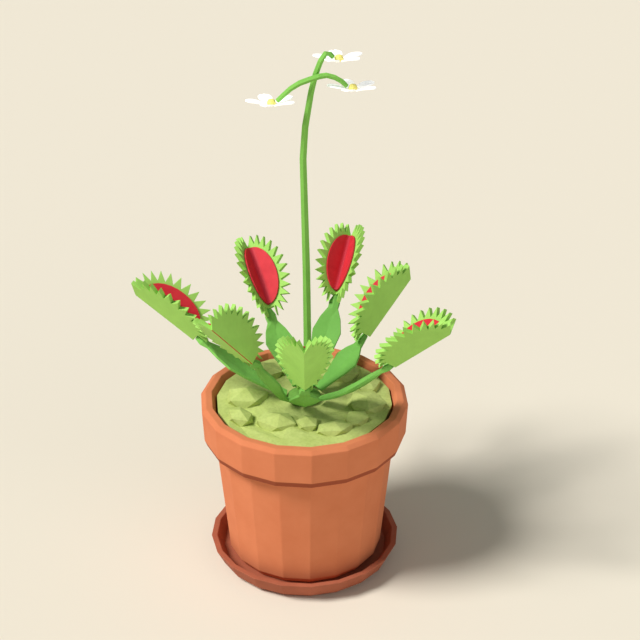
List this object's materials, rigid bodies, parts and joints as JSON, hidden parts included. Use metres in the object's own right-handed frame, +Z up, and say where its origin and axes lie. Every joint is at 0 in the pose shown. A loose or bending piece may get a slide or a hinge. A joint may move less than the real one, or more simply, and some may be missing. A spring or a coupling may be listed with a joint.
{
  "type": "potted venus flytrap",
  "caption": "A venus flytrap with a ring of toothed, red-lined traps and a tall stalk of white flowers, growing in moss in a clay pot on a clay saucer.",
  "frame": {"origin": "centre of the saucer's flat underside", "axes": "+Z up along the pot's axis, -Y towards the plant's front leaf, +X to the right seen from the front"},
  "size_m": [0.135, 0.1144, 0.2388],
  "materials": {
    "terracotta": "unglazed fired clay, matt",
    "growing_mix": "crumbly peat mix, matt",
    "moss": "dry sphagnum moss, matt",
    "crown_green": "fleshy green leaf base, satin",
    "petiole_green": "fleshy leaf blade, satin",
    "trap_green": "fleshy lobe and teeth, satin",
    "trap_red": "moist red gland surface, satin",
    "stalk_green": "smooth flower stalk, satin",
    "petal_white": "thin white petal, soft sheen",
    "flower_yellow": "pollen yellow, matt"
  },
  "bodies": {
    "root": {"crown": "crown_green", "flower_1_eye": "flower_yellow", "flower_1_petal_1": "petal_white", "flower_1_petal_2": "petal_white", "flower_1_petal_3": "petal_white", "flower_1_petal_4": "petal_white", "flower_1_petal_5": "petal_white", "flower_2_eye": "flower_yellow", "flower_2_petal_1": "petal_white", "flower_2_petal_2": "petal_white", "flower_2_petal_3": "petal_white", "flower_2_petal_4": "petal_white", "flower_2_petal_5": "petal_white", "flower_3_eye": "flower_yellow", "flower_3_petal_1": "petal_white", "flower_3_petal_2": "petal_white", "flower_3_petal_3": "petal_white", "flower_3_petal_4": "petal_white", "flower_3_petal_5": "petal_white", "flower_arch": "stalk_green", "flower_stalk": "stalk_green", "growing_mix": "growing_mix", "moss": "moss", "petiole_1": "petiole_green", "petiole_2": "petiole_green", "petiole_3": "petiole_green", "petiole_4": "petiole_green", "petiole_5": "petiole_green", "petiole_6": "petiole_green", "petiole_7": "petiole_green", "pot": "terracotta", "saucer": "terracotta", "trap_1": "trap_green", "trap_2": "trap_green", "trap_3": "trap_green", "trap_4": "trap_green", "trap_5": "trap_green", "trap_6": "trap_green", "trap_7": "trap_green", "trap_lining_1": "trap_red", "trap_lining_2": "trap_red", "trap_lining_3": "trap_red", "trap_lining_4": "trap_red", "trap_lining_5": "trap_red", "trap_lining_6": "trap_red", "trap_lining_7": "trap_red"}
  },
  "joints": []
}
